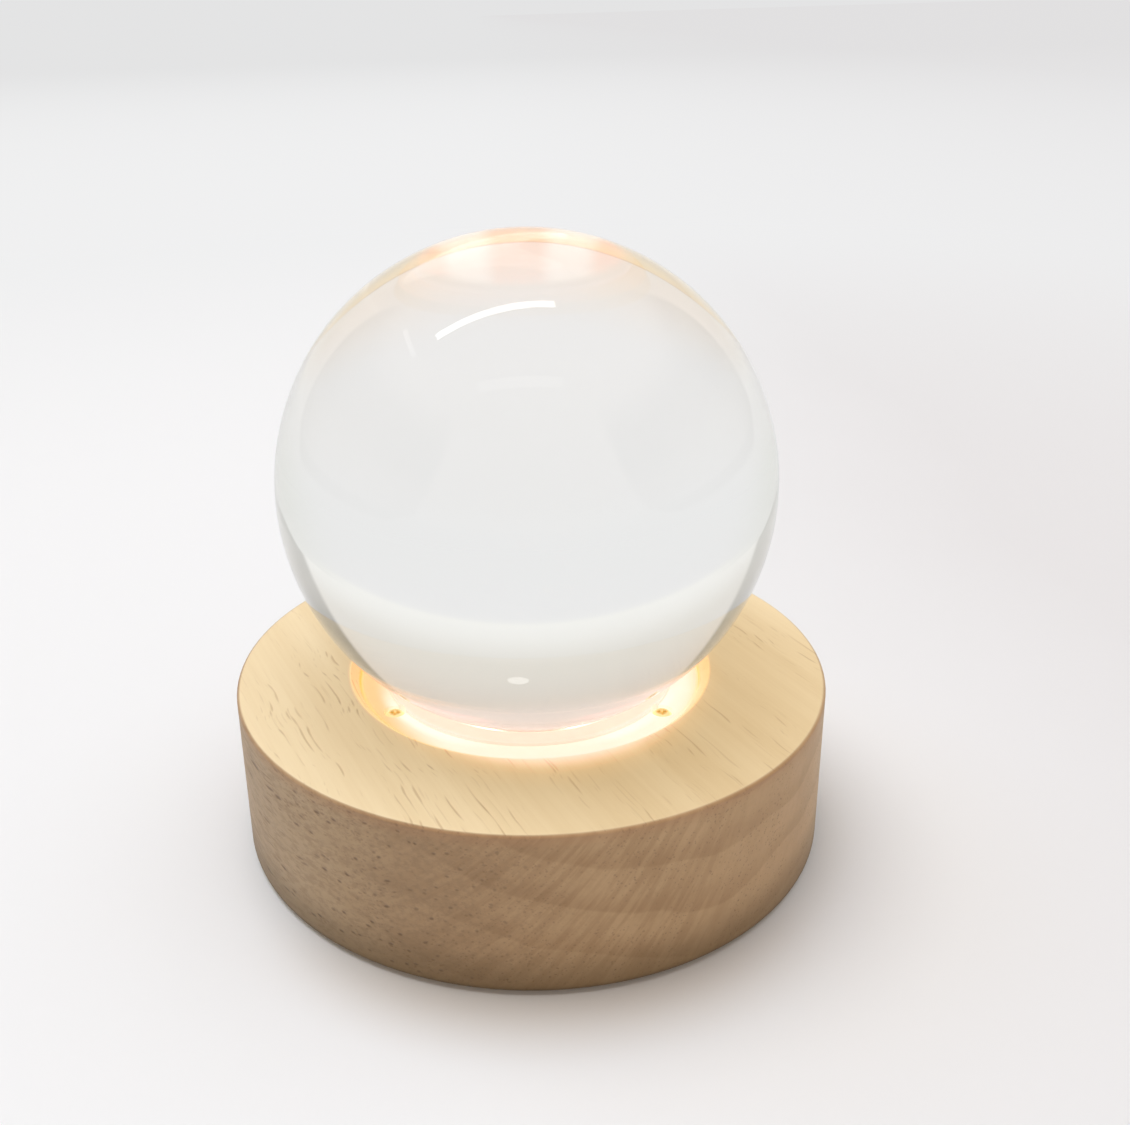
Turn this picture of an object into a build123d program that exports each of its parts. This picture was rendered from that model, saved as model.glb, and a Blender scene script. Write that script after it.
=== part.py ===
from build123d import *
import os
from math import atan2, cos, pi, radians, sin, sqrt, tan

# Crystal ball lamp: a solid glass ball that rests on the lit ring of a turned wooden base.
# All sizes are in millimetres. X is to the right, Y to the back and Z up.
# The origin is on the table, on the turning axis of the base.

# The ball and the turned base, as labelled and measured on the lamp
ball_diameter = 60.0
base_diameter = 74.0
wood_thickness = 20.0
foot_stand_off = 0.5  # how far the wood stands above the table, on its feet
top_edge_round = 0.4
bottom_edge_round = 0.4
cutter_overrun = 1.0  # how far a cut from the back runs on into the pocket it meets

# Clearances
fit_gap = 0.2  # a loose piece in its recess, on the radius
screw_gap = 0.05  # a screw in its hole, on the radius
slide_gap = 0.1  # the moving parts of the push button, on each side
button_gap = 0.25  # the button in its hole in the wood, on the radius
ball_gap = 0.15  # between the ball and its seat

# The lit ring: a white moulding let into the top of the wood
seat_angle = 30.0  # slope of the seat, from the horizontal
seat_width = 1.7
cup_wall = 1.65
flange_width = 5.8
flange_thickness = 1.8
inner_land_width = 2.35  # of the flange's raised part, next to the seat
land_step = 0.3  # from that part down to the outer one
flange_edge_chamfer = 0.3
opening_chamfer = 1.0  # round the opening in the wood, above the flange
window_wall = 2.0  # the moulding's wall beside the window
window_ledge = 1.0
window_thickness = 1.5
window_gap = 0.3  # under the ball, above the window

# The light board under the window
light_board_thickness = 1.6
led_room = 1.4  # between the light board and the window
led_count = 4
led_circle_radius = 8.0
led_length = 3.5
led_width = 2.8
led_height = 0.8
led_well_radius = 1.2
led_well_depth = 0.15
led_edge_chamfer = 0.1
chip_resistor_length = 2.0
chip_resistor_width = 1.25
chip_resistor_height = 0.5
light_board_ledge = 3.0  # width of the wooden ledge that the light board sits on

# The screws that hold the lit ring
ring_screw_angles = {"left": 210.0, "right": 324.0, "rear": 90.0}
ring_screw_inset = 2.3  # from the edge of the flange
ring_screw_radius = 0.7
ring_screw_length = 4.8
ring_screw_head_radius = 1.15
ring_screw_head_height = 0.7
ring_screw_sink = 0.8  # depth of the recess for the head

# The underside: a cover plate in a rabbet, on four rubber feet
cover_margin = 6.0  # of wood round the cover
cover_thickness = 2.0
cover_edge_chamfer = 0.3
cover_screw_count = 4
cover_screw_inset = 3.8  # from the edge of the cover
cover_screw_first_angle = 45.0
cover_screw_radius = 1.1
cover_screw_length = 7.0
cover_screw_head_radius = 2.1
cover_screw_head_height = 1.1
foot_count = 4
foot_radius = 4.5
foot_inset = 8.0  # from the edge of the cover
foot_pocket_depth = 0.8
foot_edge_chamfer = 0.25

# The pocket for the power board, milled from below at the back
pocket_from_cup = 1.2  # wood left between the bore for the lit ring and the pocket
pocket_lead_room = 2.8  # in front of the switch, where the leads start
pocket_corner = 2.5
board_ledge = 3.5  # of wood above each end of the power board, and above its front edge
pocket_relief = 1.4  # room above the power board for the ends of its pins
channel_half_width = 4.5  # for the two leads, from the middle pocket to the back one
channel_height = 5.6

# The power board and its screws
power_board_thickness = 1.2
power_board_edge_gap = 0.3
power_screw_inset = 1.6  # from the inner edge of the ledge
power_screw_set_back = 3.5  # from the front edge of the board
power_screw_radius = 0.85
power_screw_length = 4.2
power_screw_head_radius = 1.4
power_screw_head_height = 0.8

# The power inlet: a 24-contact reversible socket, and the pocket in the wood for the plug
inlet_x = -6.0
inlet_width = 8.94
inlet_height = 3.26
inlet_length = 7.35
inlet_wall = 0.3
inlet_corner = 1.5
inlet_gap = 0.3  # between the socket's shell and the slot in the wood
inlet_stand_out = 0.2  # of the shell, from the floor of the plug pocket
inlet_leg_length = 1.1
inlet_leg_width = 0.3
inlet_leg_room = 0.5  # between the legs and the ledge
tongue_side = 0.465  # of the tongue, beside the last contact
tongue_thickness = 0.7
tongue_set_back = 1.2
insulator_length = 2.0
contact_count = 12  # on each face of the tongue
contact_pitch = 0.5
contact_width = 0.26
contact_length = 3.2
contact_thickness = 0.08
plug_pocket_width = 13.0
plug_pocket_height = 7.6
plug_pocket_corner = 2.6
plug_pocket_wall = 2.4  # of wood between the plug pocket and the power board's pocket

# The push button at the back and the latching switch behind it
switch_x = 6.3
switch_size = 5.8
switch_length = 7.4
switch_wall = 0.5
switch_to_wood = 0.4  # in front of the switch
switch_to_cover = 1.4  # under the switch
switch_base_thickness = 1.0
switch_pin_width = 0.6
switch_pin_thickness = 0.3
switch_pin_pitch = 2.0
switch_pin_spread = 4.4
switch_pin_columns = 3
pin_stand_out = 0.6  # of pins and legs, above the power board
stem_size = 3.0
stem_reach = 5.2  # of the stem, in front of the switch
slider_length = 2.6
button_travel = 1.5  # all the way in, past the point where it latches
button_radius = 3.5
button_wall = 0.8
button_face_thickness = 1.6
button_face_round = 0.6
button_dish_radius = 14.0
button_dish_depth = 0.35
button_socket_depth = 2.4
button_socket_wall = 0.7
spring_wire = 0.3
spring_coil_radius = 1.15
spring_half_turns = 6
contact_clip_thickness = 0.2
contact_clip_height = 1.6
latch_wire_diameter = 0.4
latch_tip_set_in = 0.2  # from the back of the slider to the wire's tip
latch_wire_lane = 0.6  # how far the wire lies to one side of the slider's middle
latch_wire_gap = 0.08
latch_shank_depth = 0.55  # of the channel for the wire, in the top of the slider
latch_track_depth = 0.5  # below that channel, round the heart
latch_track_width = 1.9
latch_track_end = 0.4  # left solid at the front of the slider
latch_heart_width = 0.64
latch_heart_length = 0.8
latch_heart_notch = 0.22

# The leads and their solder
lead_diameter = 1.1
lead_spread = 2.4
lead_set_in = 1.9  # from the front edge of the power board
lead_board_y = 6.0
lead_over_cover = 1.5
solder_radius = 1.0
solder_height = 0.6
solder_gap = 0.02

# Small parts on the power board, each with its length, width and height, then its place:
# X, and how far it stands behind the board's front edge
power_chips = {
    "inlet_resistor_left": (1.6, 0.8, 0.45, -9.2, 2.5),
    "inlet_resistor_right": (1.6, 0.8, 0.45, -6.2, 2.5),
    "power_capacitor": (2.0, 1.25, 1.25, 0.9, 5.9),
}

# The shape of every screw, in shares of its head's height and radius and of its shank's radius
screw_point = 1.5
screw_head_edge = 0.55
screw_head_crown = 0.72
screw_recess_arm = 0.62
screw_recess_half_slot = 0.13
screw_recess_floor = 0.45

tiny = 1e-4  # how closely two sizes agree
points_a_half_turn = 12  # where the spring is measured

# Worked out from the sizes above
ball_radius = ball_diameter / 2
base_radius = base_diameter / 2
seat_contact_radius = ball_radius * sin(radians(seat_angle))
seat_outer_radius = seat_contact_radius + seat_width / 2
seat_inner_radius = seat_contact_radius - seat_width / 2
cup_radius = seat_inner_radius + cup_wall
flange_radius = cup_radius + flange_width
window_radius = cup_radius - window_wall - fit_gap
light_board_radius = cup_radius - fit_gap / 2
opening_radius = flange_radius + fit_gap + opening_chamfer
middle_pocket_radius = cup_radius + fit_gap - light_board_ledge
inner_land_radius = seat_outer_radius + inner_land_width
ring_screw_circle = flange_radius - ring_screw_inset
cover_radius = base_radius - cover_margin
cover_screw_circle = cover_radius - cover_screw_inset
foot_circle = cover_radius - foot_inset

wood_bottom = foot_stand_off
base_height = wood_bottom + wood_thickness
flange_top = base_height - opening_chamfer
flange_bottom = flange_top - flange_thickness
land_top = flange_top - land_step
ring_screw_seat = land_top - ring_screw_sink
seat_bottom = flange_top - seat_width * tan(radians(seat_angle))
ball_reach = ball_radius + ball_gap - seat_outer_radius * sin(radians(seat_angle))
ball_centre_height = flange_top + ball_reach / cos(radians(seat_angle))
window_top = ball_centre_height - ball_radius - window_gap
window_bottom = window_top - window_thickness
light_board_top = window_bottom - led_room
light_board_bottom = light_board_top - light_board_thickness

cover_bottom = wood_bottom
cover_top = cover_bottom + cover_thickness
power_board_bottom = cover_top + switch_to_cover + switch_size
power_board_top = power_board_bottom + power_board_thickness

relief_half_width = inlet_width / 2 + inlet_leg_room - inlet_x
pocket_half_width = relief_half_width + board_ledge
pocket_front = cup_radius + fit_gap + pocket_from_cup
switch_back = pocket_front + pocket_lead_room
switch_front = switch_back + switch_length
pocket_back = switch_front + switch_to_wood
plug_pocket_floor = pocket_back + plug_pocket_wall
power_board_half_width = pocket_half_width - power_board_edge_gap
power_board_front = pocket_front + power_board_edge_gap
power_board_back = pocket_back - power_board_edge_gap
power_screw_x = relief_half_width + power_screw_inset
power_screw_y = power_board_front + power_screw_set_back

inlet_height_centre = power_board_bottom - inlet_height / 2
inlet_mouth = plug_pocket_floor + inlet_stand_out
inlet_back = inlet_mouth - inlet_length
inlet_floor = inlet_back + insulator_length
tongue_width = contact_pitch * (contact_count - 1) + contact_width + 2 * tongue_side

switch_height_centre = power_board_bottom - switch_size / 2
switch_floor = switch_back + switch_base_thickness
slider_front = switch_front - switch_wall - slide_gap
slider_back = slider_front - slider_length
slider_half = switch_size / 2 - switch_wall - slide_gap
latch_tip_y = slider_back + latch_tip_set_in + latch_wire_diameter / 2
latch_shank_height = switch_height_centre + slider_half - latch_shank_depth / 2
stem_tip = switch_front + stem_reach
button_back = stem_tip - button_socket_depth
button_face = base_radius - slide_gap
lead_start_y = power_board_front + lead_set_in
lead_low = cover_top + lead_over_cover + lead_diameter / 2


def disc(radius, bottom, top, x=0.0, y=0.0):
    """A round plate or peg between two heights."""
    upright = Cylinder(radius, top - bottom, align=(Align.CENTER, Align.CENTER, Align.MIN))
    return Pos(x, y, bottom) * upright


def block(x_range, y_range, z_range):
    """A box between two limits on each axis."""
    size = [limits[1] - limits[0] for limits in (x_range, y_range, z_range)]
    corner = Pos(x_range[0], y_range[0], z_range[0])
    return corner * Box(*size, align=(Align.MIN, Align.MIN, Align.MIN))


def turned(profile):
    """A closed outline of radius and height, turned about the Z axis."""
    outline = Plane.XZ * make_face(Polyline(*profile, close=True))
    return revolve(outline, Axis.Z)


def bar_along_y(outline, start, end, x, z):
    """A flat outline in X and Z, carried back along Y from start to end."""
    face = Plane(origin=(x, start, z), x_dir=(1, 0, 0), z_dir=(0, 1, 0)) * outline
    return extrude(face, amount=end - start)


def round_the_axis(radius, count, first=0.0):
    """Evenly spaced points on a circle about the Z axis, as (x, y, angle)."""
    angles = [first + step * 360.0 / count for step in range(count)]
    return [(radius * cos(radians(a)), radius * sin(radians(a)), a) for a in angles]


def circles_of(shape, radius, height):
    """The circular edges of a turned shape that have this radius and lie at this height."""
    return [
        edge
        for edge in shape.edges().filter_by(GeomType.CIRCLE)
        if abs(edge.radius - radius) < tiny and abs(edge.center().Z - height) < tiny
    ]


def screw(shank_radius, length, head_radius, head_height):
    """A cross-recessed screw with its point down and the underside of its head at height 0."""
    shape = turned([
        (0, -length),
        (shank_radius, shank_radius * screw_point - length),
        (shank_radius, 0),
        (head_radius, 0),
        (head_radius, head_height * screw_head_edge),
        (head_radius * screw_head_crown, head_height),
        (0, head_height),
    ])
    arm = (-head_radius * screw_recess_arm, head_radius * screw_recess_arm)
    slot = (-head_radius * screw_recess_half_slot, head_radius * screw_recess_half_slot)
    depth = (head_height * screw_recess_floor, head_height)
    return shape - block(arm, slot, depth) - block(slot, arm, depth)


def crystal_ball():
    """The solid glass ball."""
    return Pos(0, 0, ball_centre_height) * Sphere(ball_radius)


def ring_screw_places():
    """Where each screw of the lit ring stands, by its name's last word."""
    return {
        side: (ring_screw_circle * cos(radians(angle)), ring_screw_circle * sin(radians(angle)))
        for side, angle in ring_screw_angles.items()
    }


def cover_screw_places():
    """Where the cover's screws stand, as (x, y, angle)."""
    return round_the_axis(cover_screw_circle, cover_screw_count, cover_screw_first_angle)


def turned_wood():
    """The base as it leaves the lathe: stepped for the lit ring above and the cover below."""
    cup_bore = cup_radius + fit_gap
    flange_bore = flange_radius + fit_gap
    rabbet = cover_radius + fit_gap
    body = turned([
        (middle_pocket_radius, cover_top),
        (middle_pocket_radius, light_board_bottom),
        (cup_bore, light_board_bottom),
        (cup_bore, flange_bottom),
        (flange_bore, flange_bottom),
        (flange_bore, flange_top),
        (opening_radius, base_height),
        (base_radius, base_height),
        (base_radius, wood_bottom),
        (rabbet, wood_bottom),
        (rabbet, cover_top),
    ])
    body = fillet(circles_of(body, base_radius, base_height), top_edge_round)
    return fillet(circles_of(body, base_radius, wood_bottom), bottom_edge_round)


def power_pocket():
    """What the mill takes out for the power board, the ends of its pins and the leads."""
    length = pocket_back - pocket_front
    middle = (pocket_back + pocket_front) / 2
    room = Pos(0, middle, cover_top) * RectangleRounded(2 * pocket_half_width, length, pocket_corner)
    room = extrude(room, amount=power_board_top - cover_top)
    relief = RectangleRounded(2 * relief_half_width, length - board_ledge, pocket_corner)
    relief = Pos(0, middle + board_ledge / 2, power_board_bottom) * relief
    room += extrude(relief, amount=power_board_thickness + pocket_relief)
    room += block(
        (-channel_half_width, channel_half_width),
        (0, middle),
        (cover_top, cover_top + channel_height),
    )
    return room


def wooden_base():
    """The turned base with its milled pocket, plug pocket, button hole and screw holes."""
    body = turned_wood() - power_pocket()
    cut_from = pocket_back - cutter_overrun
    slot = RectangleRounded(
        inlet_width + 2 * inlet_gap, inlet_height + 2 * inlet_gap, inlet_corner + inlet_gap
    )
    body -= bar_along_y(slot, cut_from, base_radius, inlet_x, inlet_height_centre)
    plug = RectangleRounded(plug_pocket_width, plug_pocket_height, plug_pocket_corner)
    body -= bar_along_y(plug, plug_pocket_floor, base_radius, inlet_x, inlet_height_centre)
    hole = Circle(button_radius + button_gap)
    body -= bar_along_y(hole, cut_from, base_radius, switch_x, switch_height_centre)
    for x, y in ring_screw_places().values():
        hole_bottom = ring_screw_seat - ring_screw_length - screw_gap
        body -= disc(ring_screw_radius + screw_gap, hole_bottom, flange_bottom, x, y)
    for x, y, _ in cover_screw_places():
        hole_top = cover_bottom + cover_screw_head_height + cover_screw_length + screw_gap
        body -= disc(cover_screw_radius + screw_gap, cover_top, hole_top, x, y)
    for x in (-power_screw_x, power_screw_x):
        hole_top = power_board_bottom + power_screw_length + screw_gap
        body -= disc(power_screw_radius + screw_gap, power_board_top, hole_top, x, power_screw_y)
    return body


def lamp_ring():
    """The white moulding: stepped flange, sloped seat, reflecting wall, ledge for the window."""
    ring = turned([
        (cup_radius, light_board_top),
        (cup_radius, flange_bottom),
        (flange_radius, flange_bottom),
        (flange_radius, land_top),
        (inner_land_radius, land_top),
        (inner_land_radius, flange_top),
        (seat_outer_radius, flange_top),
        (seat_inner_radius, seat_bottom),
        (window_radius + fit_gap, window_top),
        (window_radius + fit_gap, window_bottom),
        (window_radius - window_ledge, window_bottom),
        (window_radius - window_ledge, light_board_top),
    ])
    ring = chamfer(circles_of(ring, flange_radius, land_top), flange_edge_chamfer)
    for x, y in ring_screw_places().values():
        ring -= disc(ring_screw_radius + screw_gap, flange_bottom, flange_top, x, y)
        ring -= disc(ring_screw_head_radius + fit_gap, ring_screw_seat, flange_top, x, y)
    return ring


def ring_screws():
    """The three screws that hold the lit ring, sunk in its flange."""
    shape = screw(
        ring_screw_radius, ring_screw_length, ring_screw_head_radius, ring_screw_head_height
    )
    return {
        f"ring_screw_{side}": Pos(x, y, ring_screw_seat) * shape
        for side, (x, y) in ring_screw_places().items()
    }


def leds():
    """The light-emitting diodes, each a shallow box with a round well, and a resistor beside each."""
    body = block(
        (-led_length / 2, led_length / 2), (-led_width / 2, led_width / 2), (0, led_height)
    )
    body = chamfer(body.faces().sort_by(Axis.Z)[-1].edges(), led_edge_chamfer)
    body -= disc(led_well_radius, led_height - led_well_depth, led_height)
    half = (chip_resistor_length / 2, chip_resistor_width / 2)
    chip = block((-half[0], half[0]), (-half[1], half[1]), (0, chip_resistor_height))
    made = {}
    step = 360.0 / led_count
    for number, (x, y, angle) in enumerate(
        round_the_axis(led_circle_radius, led_count, step / 2), start=1
    ):
        made[f"led_{number}"] = Pos(x, y, light_board_top) * Rot(0, 0, angle) * body
    for number, (x, y, angle) in enumerate(
        round_the_axis(led_circle_radius, led_count), start=1
    ):
        made[f"led_resistor_{number}"] = Pos(x, y, light_board_top) * Rot(0, 0, angle) * chip
    return made


def bottom_cover():
    """The round cover plate, with sunk screw holes and shallow pockets for the feet."""
    cover = disc(cover_radius, cover_bottom, cover_top)
    cover = chamfer(circles_of(cover, cover_radius, cover_bottom), cover_edge_chamfer)
    for x, y, _ in cover_screw_places():
        sink = cover_bottom + cover_screw_head_height
        cover -= disc(cover_screw_radius + screw_gap, cover_bottom, cover_top, x, y)
        cover -= disc(cover_screw_head_radius + fit_gap, cover_bottom, sink, x, y)
    for x, y, _ in round_the_axis(foot_circle, foot_count):
        cover -= disc(foot_radius + fit_gap, cover_bottom, cover_bottom + foot_pocket_depth, x, y)
    return cover


def cover_fittings():
    """The four cover screws and the four rubber feet."""
    shape = Rot(180, 0, 0) * screw(
        cover_screw_radius, cover_screw_length, cover_screw_head_radius, cover_screw_head_height
    )
    foot = disc(foot_radius, 0, foot_stand_off + foot_pocket_depth)
    foot = chamfer(circles_of(foot, foot_radius, 0), foot_edge_chamfer)
    sink = cover_bottom + cover_screw_head_height
    made = {}
    for number, (x, y, _) in enumerate(cover_screw_places(), start=1):
        made[f"cover_screw_{number}"] = Pos(x, y, sink) * shape
    for number, (x, y, _) in enumerate(round_the_axis(foot_circle, foot_count), start=1):
        made[f"rubber_foot_{number}"] = Pos(x, y, 0) * foot
    return made


def switch_pin_places():
    """The six pins of the switch, as (x, y)."""
    middle = (switch_front + switch_back) / 2
    rows = range(switch_pin_columns)
    back = middle - switch_pin_pitch * (switch_pin_columns - 1) / 2
    sides = (switch_x - switch_pin_spread / 2, switch_x + switch_pin_spread / 2)
    return [(x, back + row * switch_pin_pitch) for x in sides for row in rows]


def inlet_leg_places():
    """The four legs of the socket's shell, as (x, y)."""
    reach = inlet_width / 2 - inlet_leg_width / 2
    front = power_board_back - inlet_leg_length
    back = inlet_back + inlet_leg_length
    return [(inlet_x + side * reach, y) for side in (-1, 1) for y in (back, front)]


def power_board():
    """The power board, with holes for its screws, the switch's pins and the socket's legs."""
    board = block(
        (-power_board_half_width, power_board_half_width),
        (power_board_front, power_board_back),
        (power_board_bottom, power_board_top),
    )
    board = fillet(board.edges().filter_by(Axis.Z), pocket_corner - power_board_edge_gap)
    for x in (-power_screw_x, power_screw_x):
        board -= disc(
            power_screw_radius + screw_gap, power_board_bottom, power_board_top, x, power_screw_y
        )
    for x, y in switch_pin_places():
        half = (switch_pin_width / 2 + slide_gap, switch_pin_thickness / 2 + slide_gap)
        board -= block(
            (x - half[0], x + half[0]), (y - half[1], y + half[1]), (power_board_bottom, power_board_top)
        )
    for x, y in inlet_leg_places():
        half = (inlet_leg_width / 2 + slide_gap, inlet_leg_length / 2 + slide_gap)
        board -= block(
            (x - half[0], x + half[0]), (y - half[1], y + half[1]), (power_board_bottom, power_board_top)
        )
    return board


def power_board_fittings():
    """The power board's two screws and its small chips."""
    shape = Rot(180, 0, 0) * screw(
        power_screw_radius,
        power_screw_length,
        power_screw_head_radius,
        power_screw_head_height,
    )
    made = {}
    for side, x in (("left", -power_screw_x), ("right", power_screw_x)):
        made[f"board_screw_{side}"] = Pos(x, power_screw_y, power_board_bottom) * shape
    for name, (length, width, height, x, set_back) in power_chips.items():
        y = power_board_front + set_back
        made[name] = block(
            (x - length / 2, x + length / 2),
            (y - width / 2, y + width / 2),
            (power_board_bottom - height, power_board_bottom),
        )
    return made


def inlet():
    """The power inlet: a drawn metal shell on four legs, a moulded tongue and its contacts."""
    outside = RectangleRounded(inlet_width, inlet_height, inlet_corner)
    inside = RectangleRounded(
        inlet_width - 2 * inlet_wall, inlet_height - 2 * inlet_wall, inlet_corner - inlet_wall
    )
    shell = bar_along_y(outside - inside, inlet_back, inlet_mouth, inlet_x, inlet_height_centre)
    for x, y in inlet_leg_places():
        shell += block(
            (x - inlet_leg_width / 2, x + inlet_leg_width / 2),
            (y - inlet_leg_length / 2, y + inlet_leg_length / 2),
            (inlet_height_centre, power_board_top + pin_stand_out),
        )
    tongue = bar_along_y(inside, inlet_back, inlet_floor, inlet_x, inlet_height_centre)
    tongue_tip = inlet_mouth - tongue_set_back
    half_tongue = tongue_thickness / 2
    tongue += block(
        (inlet_x - tongue_width / 2, inlet_x + tongue_width / 2),
        (inlet_floor, tongue_tip),
        (inlet_height_centre - half_tongue, inlet_height_centre + half_tongue),
    )
    first = inlet_x - contact_pitch * (contact_count - 1) / 2
    contacts = []
    for side in (-1, 1):
        level = inlet_height_centre + side * half_tongue
        faces = sorted((level, level + side * contact_thickness))
        for number in range(contact_count):
            x = first + number * contact_pitch
            contacts.append(block(
                (x - contact_width / 2, x + contact_width / 2),
                (inlet_floor, inlet_floor + contact_length),
                faces,
            ))
    return {"inlet_shell": shell, "inlet_tongue": tongue, "inlet_contacts": Compound(contacts)}


def switch_bar(outline, start, end):
    """A flat outline carried back from start to end, on the line of the switch."""
    return bar_along_y(outline, start, end, switch_x, switch_height_centre)


def square(side):
    """A square outline."""
    return Rectangle(side, side)


def switch():
    """What stays still in the latching switch: its housing, its base plate and its pins."""
    inside = switch_size - 2 * switch_wall
    housing = switch_bar(square(switch_size), switch_back, switch_front)
    housing -= switch_bar(square(inside), switch_back, switch_front - switch_wall)
    housing -= switch_bar(square(stem_size + 2 * slide_gap), switch_front - switch_wall, switch_front)
    plate = switch_bar(square(inside), switch_back, switch_floor)
    plate -= bar_along_y(
        Circle(latch_wire_diameter / 2 + screw_gap),
        switch_back + latch_wire_gap,
        switch_floor,
        switch_x + latch_wire_lane,
        latch_shank_height,
    )
    pins = [
        block(
            (x - switch_pin_width / 2, x + switch_pin_width / 2),
            (y - switch_pin_thickness / 2, y + switch_pin_thickness / 2),
            (power_board_bottom, power_board_top + pin_stand_out),
        )
        for x, y in switch_pin_places()
    ]
    return {"switch_housing": housing, "switch_base": plate, "switch_pins": Compound(pins)}


def latch_track():
    """What is cut from the top of the slider: the wire's channel and the track round a heart."""
    top = switch_height_centre + slider_half
    channel_floor = top - latch_shank_depth
    track_front = slider_front - latch_track_end
    half_width = latch_track_width / 2
    sides = (switch_x - half_width, switch_x + half_width)
    channel = block(sides, (slider_back, track_front), (channel_floor, top))
    track = block(sides, (slider_back + slide_gap, track_front), (channel_floor - latch_track_depth, top))
    middle = (latch_tip_y + track_front - latch_wire_diameter / 2) / 2
    half_heart = latch_heart_width / 2
    heart = make_face(Polyline(
        (0, -latch_heart_length / 2),
        (half_heart, latch_heart_length / 4),
        (half_heart / 2, latch_heart_length / 2),
        (0, latch_heart_length / 2 - latch_heart_notch),
        (-half_heart / 2, latch_heart_length / 2),
        (-half_heart, latch_heart_length / 4),
        close=True,
    ))
    heart = Pos(switch_x, middle, channel_floor - latch_track_depth) * heart
    return channel + (track - extrude(heart, amount=latch_track_depth))


def switch_slider():
    """The slider: its square stem, the latch track on top, and the peg that carries the spring."""
    slider = switch_bar(square(2 * slider_half), slider_back, slider_front)
    slider -= latch_track()
    for side in (-1, 1):
        slider -= contact_clip(side)
    slider += switch_bar(square(stem_size), slider_front, stem_tip)
    peg_radius = spring_coil_radius - spring_wire / 2 - slide_gap
    peg_end = slider_back - (slider_back - switch_floor - button_travel) / 2
    return slider + switch_bar(Circle(peg_radius), peg_end, slider_back)


def contact_clip(side):
    """One sprung contact clip, let into a side of the slider."""
    edge = switch_x + side * slider_half
    half_height = contact_clip_height / 2
    return block(
        sorted((edge, edge - side * contact_clip_thickness)),
        (slider_back, slider_front - contact_clip_thickness),
        (switch_height_centre - half_height, switch_height_centre + half_height),
    )


def latch_wire():
    """The wire that latches the switch: held in the base plate, its bent tip in the slider's track."""
    x = switch_x + latch_wire_lane
    track_floor = switch_height_centre + slider_half - latch_shank_depth - latch_track_depth
    path = FilletPolyline(
        (x, switch_back + latch_wire_gap, latch_shank_height),
        (x, latch_tip_y, latch_shank_height),
        (x, latch_tip_y, track_floor + latch_wire_gap),
        radius=latch_wire_diameter,
    )
    section = Plane(origin=path @ 0, z_dir=path % 0) * Circle(latch_wire_diameter / 2)
    return sweep(section, path=path)


def coil_line(radius, rise, half_turns):
    """The middle line of a coil: each half turn is two arcs that climb and meet smoothly."""
    climb = atan2(rise, pi * radius)
    along = Vector(0, cos(climb), sin(climb))
    chord = Vector(-2 * radius, 0, rise)
    slope = 2 * rise * sin(climb)
    spread = 4 * cos(climb) ** 2
    reach = (sqrt(slope**2 + spread * chord.dot(chord)) - slope) / spread
    arcs = []
    for step in range(half_turns):
        side = 1 if step % 2 == 0 else -1
        start = Vector(side * radius, 0, step * rise)
        middle = Vector(0, side * reach * cos(climb), start.Z + rise / 2)
        end = Vector(-side * radius, 0, start.Z + rise)
        first = TangentArc(start, middle, tangent=(0, side * along.Y, along.Z))
        arcs += [first, TangentArc(middle, end, tangent=first % 1)]
    return Wire(arcs)


def least_gap(path, wire, half_turns):
    """The least gap from a coil to itself, between points at least half a turn apart."""
    count = half_turns * points_a_half_turn
    points = [path @ (step / count) for step in range(count + 1)]
    return min(
        (points[first] - points[second]).length
        for first in range(count)
        for second in range(first + points_a_half_turn, count + 1)
    ) - wire


def return_spring():
    """The spring behind the slider: one open coil from the base plate to the slider."""
    start = switch_floor + spring_wire / 2
    length = slider_back - spring_wire / 2 - start
    path = coil_line(spring_coil_radius, length / spring_half_turns, spring_half_turns)
    print("return_spring least gap", round(least_gap(path, spring_wire, spring_half_turns), 3))
    section = Plane(origin=path @ 0, z_dir=path % 0) * Circle(spring_wire / 2)
    coil = sweep(section, path=path)
    return Pos(switch_x, start, switch_height_centre) * Rot(-90, 0, 0) * coil


def push_button():
    """The round button: a dished face, a thin skirt and a square socket for the switch's stem."""
    button = switch_bar(Circle(button_radius), button_back, button_face)
    rim = [
        edge
        for edge in button.edges().filter_by(GeomType.CIRCLE)
        if abs(edge.center().Y - button_face) < tiny
    ]
    button = fillet(rim, button_face_round)
    dish_centre = button_face + button_dish_radius - button_dish_depth
    button -= Pos(switch_x, dish_centre, switch_height_centre) * Sphere(button_dish_radius)
    hollow = Circle(button_radius - button_wall) - square(stem_size + 2 * button_socket_wall)
    button -= switch_bar(hollow, button_back, button_face - button_face_thickness)
    return button - switch_bar(square(stem_size), button_back, stem_tip)


def leads():
    """The two leads from the power board, down through the channel and up to the light board."""
    made = {}
    for name, side in (("red_lead", -1), ("black_lead", 1)):
        x = side * lead_spread / 2
        points = [
            (x, lead_start_y, power_board_bottom),
            (x, lead_start_y, lead_low),
            (x, lead_board_y, lead_low),
            (x, lead_board_y, light_board_bottom),
        ]
        drops = [power_board_bottom - lead_low, light_board_bottom - lead_low]
        bends = [drop - lead_diameter / 2 for drop in drops]
        path = FilletPolyline(*points, radius=bends)
        section = Plane(origin=path @ 0, z_dir=path % 0) * Circle(lead_diameter / 2)
        made[name] = sweep(section, path=path)
        share = made[name].volume / (pi * (lead_diameter / 2) ** 2 * path.length)
        print(name, "length", round(path.length, 1), "bends", bends, "volume share", round(share, 4))
    return made


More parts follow.
